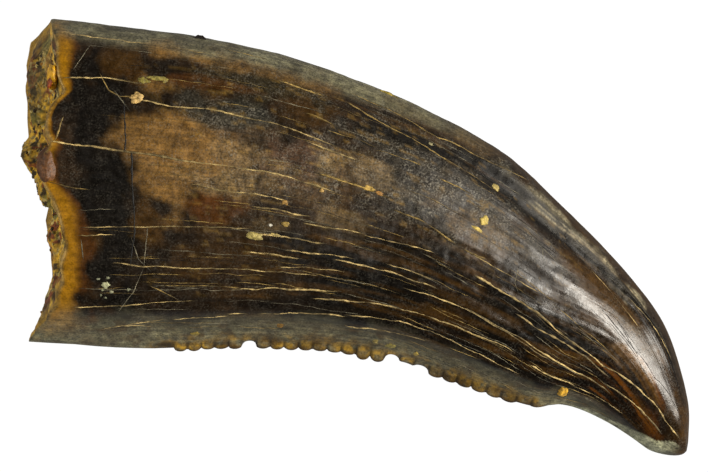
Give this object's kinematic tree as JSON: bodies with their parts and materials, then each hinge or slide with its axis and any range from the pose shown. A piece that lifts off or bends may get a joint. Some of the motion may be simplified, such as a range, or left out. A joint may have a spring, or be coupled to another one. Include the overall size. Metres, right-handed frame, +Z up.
{
  "type": "fossil raptor tooth",
  "caption": "Curved, flattened predator tooth crown with a serrated back edge, broken off at the base, with sediment packed in the break.",
  "frame": {"origin": "on the resting surface, under the middle of the tooth as it lies on its flank", "axes": "+X from the broken base towards the tip, +Y towards the convex front edge, +Z up out of the upper flank"},
  "size_m": [0.0116, 0.0075, 0.0029],
  "materials": {
    "enamel": "glossy dark brown fossil enamel with grey sheen, orange-brown patches and pale hairline cracks",
    "sediment": "matte, crumbly ochre and olive sediment"
  },
  "bodies": {
    "root": {"tooth": "enamel", "sediment": "sediment"}
  },
  "joints": []
}
